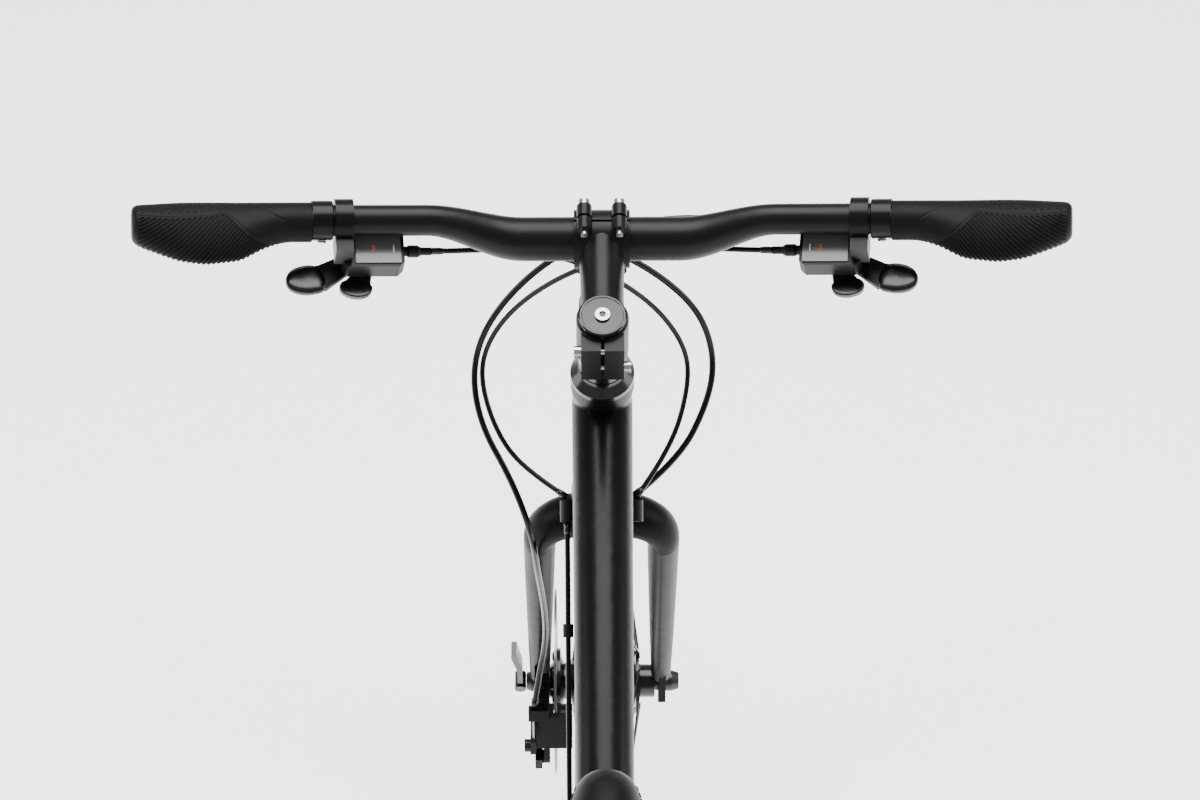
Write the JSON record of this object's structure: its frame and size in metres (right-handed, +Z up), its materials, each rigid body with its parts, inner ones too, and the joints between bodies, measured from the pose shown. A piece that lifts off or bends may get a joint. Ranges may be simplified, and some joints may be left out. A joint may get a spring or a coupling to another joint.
{
  "type": "hybrid bike",
  "caption": "Flat-bar hybrid bike with riser bar, winged grips, disc brakes, rigid fork, chain drive with derailleurs, and quick-release wheels.",
  "frame": {"origin": "on the ground under the middle of the wheelbase", "axes": "+X forward, +Y left, +Z up"},
  "size_m": [1.7468, 0.6638, 1.0083],
  "materials": {
    "frame_paint": "matt black paint",
    "black_metal": "black anodised",
    "steel": "brushed",
    "dark_steel": "blackened steel",
    "bolt_steel": "bright plated",
    "grip_rubber": "soft matt rubber",
    "tyre": "matt rubber",
    "plastic": "fine grain",
    "grey_plastic": "satin grey",
    "window": "clear pale window",
    "cable": "black housing",
    "saddle_cover": "matt black cover"
  },
  "bodies": {
    "frame": {"front_triangle": "frame_paint", "rear_triangle": "frame_paint", "frame_bearings": "steel", "seat_clamp": "frame_paint", "cable_guides": "plastic", "rear_axle": "steel", "rear_caliper": "black_metal", "chain": "dark_steel", "front_derailleur_mount": "black_metal", "rear_derailleur_mount": "black_metal", "frame_cables": "cable"},
    "steering": {"fork": "frame_paint", "headset_stack": "black_metal", "stem": "black_metal", "stem_faceplate": "black_metal", "stem_bolts": "bolt_steel", "handlebar": "black_metal", "grips": "grip_rubber", "grip_collars": "black_metal", "brake_lever_mounts": "black_metal", "shifter_pods": "plastic", "gear_windows": "window", "front_caliper": "black_metal", "front_axle": "steel", "front_brake_cable": "cable", "control_cables": "cable"},
    "front_wheel": {"front_tyre": "tyre", "front_rim": "black_metal", "front_spokes": "dark_steel", "front_hub": "black_metal", "front_rotor": "steel"},
    "rear_wheel": {"rear_tyre": "tyre", "rear_rim": "black_metal", "rear_spokes": "dark_steel", "rear_hub": "black_metal", "rear_rotor": "steel"},
    "crank": {"crank_arms": "black_metal", "chainrings": "black_metal"},
    "seat": {"seatpost": "black_metal", "saddle": "saddle_cover", "saddle_rails": "dark_steel"},
    "brake_lever_left_body": {"brake_lever_left": "black_metal"},
    "brake_lever_right_body": {"brake_lever_right": "black_metal"},
    "shift_paddle_left_body": {"shift_paddle_left": "plastic"},
    "shift_paddle_right_body": {"shift_paddle_right": "plastic"},
    "release_lever_left_body": {"release_lever_left": "grey_plastic"},
    "release_lever_right_body": {"release_lever_right": "grey_plastic"},
    "front_caliper_arm_body": {"front_caliper_arm": "black_metal"},
    "rear_caliper_arm_body": {"rear_caliper_arm": "black_metal"},
    "front_skewer_lever_body": {"front_skewer_lever": "black_metal"},
    "rear_skewer_lever_body": {"rear_skewer_lever": "black_metal"},
    "cassette_body": {"cassette": "steel"},
    "pedal_left_body": {"pedal_left": "plastic"},
    "pedal_right_body": {"pedal_right": "plastic"},
    "derailleur_link_body": {"derailleur_link": "black_metal"},
    "derailleur_knuckle_body": {"derailleur_knuckle": "black_metal"},
    "derailleur_cage_body": {"derailleur_cage": "dark_steel"},
    "guide_pulley_body": {"guide_pulley": "plastic"},
    "tension_pulley_body": {"tension_pulley": "plastic"},
    "front_derailleur_cage_body": {"front_derailleur_cage": "dark_steel"}
  },
  "joints": [
    {"name": "steering_turn", "type": "hinge", "parent": "frame", "child": "steering", "pos_m": [0.48022, 0, 0.32972], "axis": [-0.3256, 0, 0.9455], "range_deg": [-60, 60], "deforming": ["control_cables", "front_brake_cable"]},
    {"name": "front_wheel_spin", "type": "hinge", "parent": "steering", "child": "front_wheel", "pos_m": [0.5275, 0, 0.346], "axis": [0, 1, 0], "continuous": true},
    {"name": "rear_wheel_spin", "type": "hinge", "parent": "frame", "child": "rear_wheel", "pos_m": [-0.5275, 0, 0.346], "axis": [0, 1, 0], "continuous": true},
    {"name": "crank_turn", "type": "hinge", "parent": "frame", "child": "crank", "pos_m": [-0.09279, 0, 0.278], "axis": [0, 1, 0], "continuous": true, "deforming": ["chain"]},
    {"name": "cassette_turn", "type": "hinge", "parent": "frame", "child": "cassette_body", "pos_m": [-0.5275, 0, 0.346], "axis": [0, 1, 0], "continuous": true},
    {"name": "pedal_left_turn", "type": "hinge", "parent": "crank", "child": "pedal_left_body", "pos_m": [-0.26279, 0, 0.278], "axis": [0, 1, 0], "continuous": true},
    {"name": "pedal_right_turn", "type": "hinge", "parent": "crank", "child": "pedal_right_body", "pos_m": [0.07721, 0, 0.278], "axis": [0, 1, 0], "continuous": true},
    {"name": "brake_lever_left_pull", "type": "hinge", "parent": "steering", "child": "brake_lever_left_body", "pos_m": [0.36881, 0.18693, 0.96242], "axis": [0.5681, -0.0067, 0.823], "range_deg": [0, 20], "stiffness_Nm_per_rad": 1.2, "springref_deg": -17.19},
    {"name": "brake_lever_right_pull", "type": "hinge", "parent": "steering", "child": "brake_lever_right_body", "pos_m": [0.36881, -0.18693, 0.96242], "axis": [-0.5681, -0.0067, -0.823], "range_deg": [0, 20], "stiffness_Nm_per_rad": 1.2, "springref_deg": -17.19},
    {"name": "shift_paddle_left_press", "type": "hinge", "parent": "steering", "child": "shift_paddle_left_body", "pos_m": [0.33817, 0.16756, 0.96081], "axis": [0.4185, 0.1529, -0.8952], "range_deg": [0, 20], "stiffness_Nm_per_rad": 0.3, "springref_deg": -17.19},
    {"name": "release_lever_left_press", "type": "hinge", "parent": "steering", "child": "release_lever_left_body", "pos_m": [0.33817, 0.16756, 0.96081], "axis": [0.4185, 0.1529, -0.8952], "range_deg": [0, 15], "stiffness_Nm_per_rad": 0.3, "springref_deg": -17.19},
    {"name": "shift_paddle_right_press", "type": "hinge", "parent": "steering", "child": "shift_paddle_right_body", "pos_m": [0.33817, -0.16756, 0.96081], "axis": [-0.4185, 0.1529, 0.8952], "range_deg": [0, 20], "stiffness_Nm_per_rad": 0.3, "springref_deg": -17.19},
    {"name": "release_lever_right_press", "type": "hinge", "parent": "steering", "child": "release_lever_right_body", "pos_m": [0.33817, -0.16756, 0.96081], "axis": [-0.4185, 0.1529, 0.8952], "range_deg": [0, 15], "stiffness_Nm_per_rad": 0.3, "springref_deg": -17.19},
    {"name": "front_caliper_arm_swing", "type": "hinge", "parent": "steering", "child": "front_caliper_arm_body", "pos_m": [0.45988, 0.0386, 0.36412], "axis": [0, 1, 0], "range_deg": [0, 25], "stiffness_Nm_per_rad": 0.5, "springref_deg": -17.19},
    {"name": "rear_caliper_arm_swing", "type": "hinge", "parent": "frame", "child": "rear_caliper_arm_body", "pos_m": [-0.46128, 0.0513, 0.36868], "axis": [0, 1, 0], "range_deg": [0, 25], "stiffness_Nm_per_rad": 0.5, "springref_deg": -17.19},
    {"name": "front_skewer_lever_open", "type": "hinge", "parent": "steering", "child": "front_skewer_lever_body", "pos_m": [0.5275, 0.0694, 0.346], "axis": [-0.9455, 0, -0.3256], "range_deg": [0, 150]},
    {"name": "rear_skewer_lever_open", "type": "hinge", "parent": "frame", "child": "rear_skewer_lever_body", "pos_m": [-0.5275, 0.0869, 0.346], "axis": [-0.7278, 0, 0.6858], "range_deg": [0, 150]},
    {"name": "derailleur_link_swing", "type": "hinge", "parent": "frame", "child": "derailleur_link_body", "pos_m": [-0.5635, -0.074, 0.288], "axis": [0.2722, 0.6804, 0.6804], "range_deg": [-20, 20], "stiffness_Nm_per_rad": 2},
    {"name": "derailleur_knuckle_swing", "type": "hinge", "parent": "derailleur_link_body", "child": "derailleur_knuckle_body", "pos_m": [-0.5235, -0.07, 0.268], "axis": [0.2722, 0.6804, 0.6804], "range_deg": [-20, 20]},
    {"name": "derailleur_cage_swing", "type": "hinge", "parent": "derailleur_knuckle_body", "child": "derailleur_cage_body", "pos_m": [-0.5315, 0, 0.254], "axis": [0, 1, 0], "range_deg": [-15, 30], "stiffness_Nm_per_rad": 0.5},
    {"name": "guide_pulley_spin", "type": "hinge", "parent": "derailleur_cage_body", "child": "guide_pulley_body", "pos_m": [-0.5315, 0, 0.254], "axis": [0, 1, 0], "continuous": true},
    {"name": "tension_pulley_spin", "type": "hinge", "parent": "derailleur_cage_body", "child": "tension_pulley_body", "pos_m": [-0.52982, 0, 0.19803], "axis": [0, 1, 0], "continuous": true},
    {"name": "front_derailleur_swing", "type": "hinge", "parent": "frame", "child": "front_derailleur_cage_body", "pos_m": [-0.12971, -0.028, 0.40265], "axis": [1, 0, 0], "range_deg": [-2, 7], "stiffness_Nm_per_rad": 2},
    {"name": "seatpost_slide", "type": "slide", "parent": "frame", "child": "seat", "axis": [-0.284, 0, 0.9588], "range_m": [-0.06, 0.07]}
  ],
  "couplings": [
    {"joint": "cassette_turn", "follows": "crank_turn", "ratio": 2.3},
    {"joint": "guide_pulley_spin", "follows": "crank_turn", "ratio": -4.1818},
    {"joint": "tension_pulley_spin", "follows": "crank_turn", "ratio": 4.1818},
    {"joint": "front_caliper_arm_swing", "follows": "brake_lever_right_pull", "ratio": 1.25},
    {"joint": "rear_caliper_arm_swing", "follows": "brake_lever_left_pull", "ratio": 1.25},
    {"joint": "derailleur_knuckle_swing", "follows": "derailleur_link_swing", "ratio": -1}
  ]
}
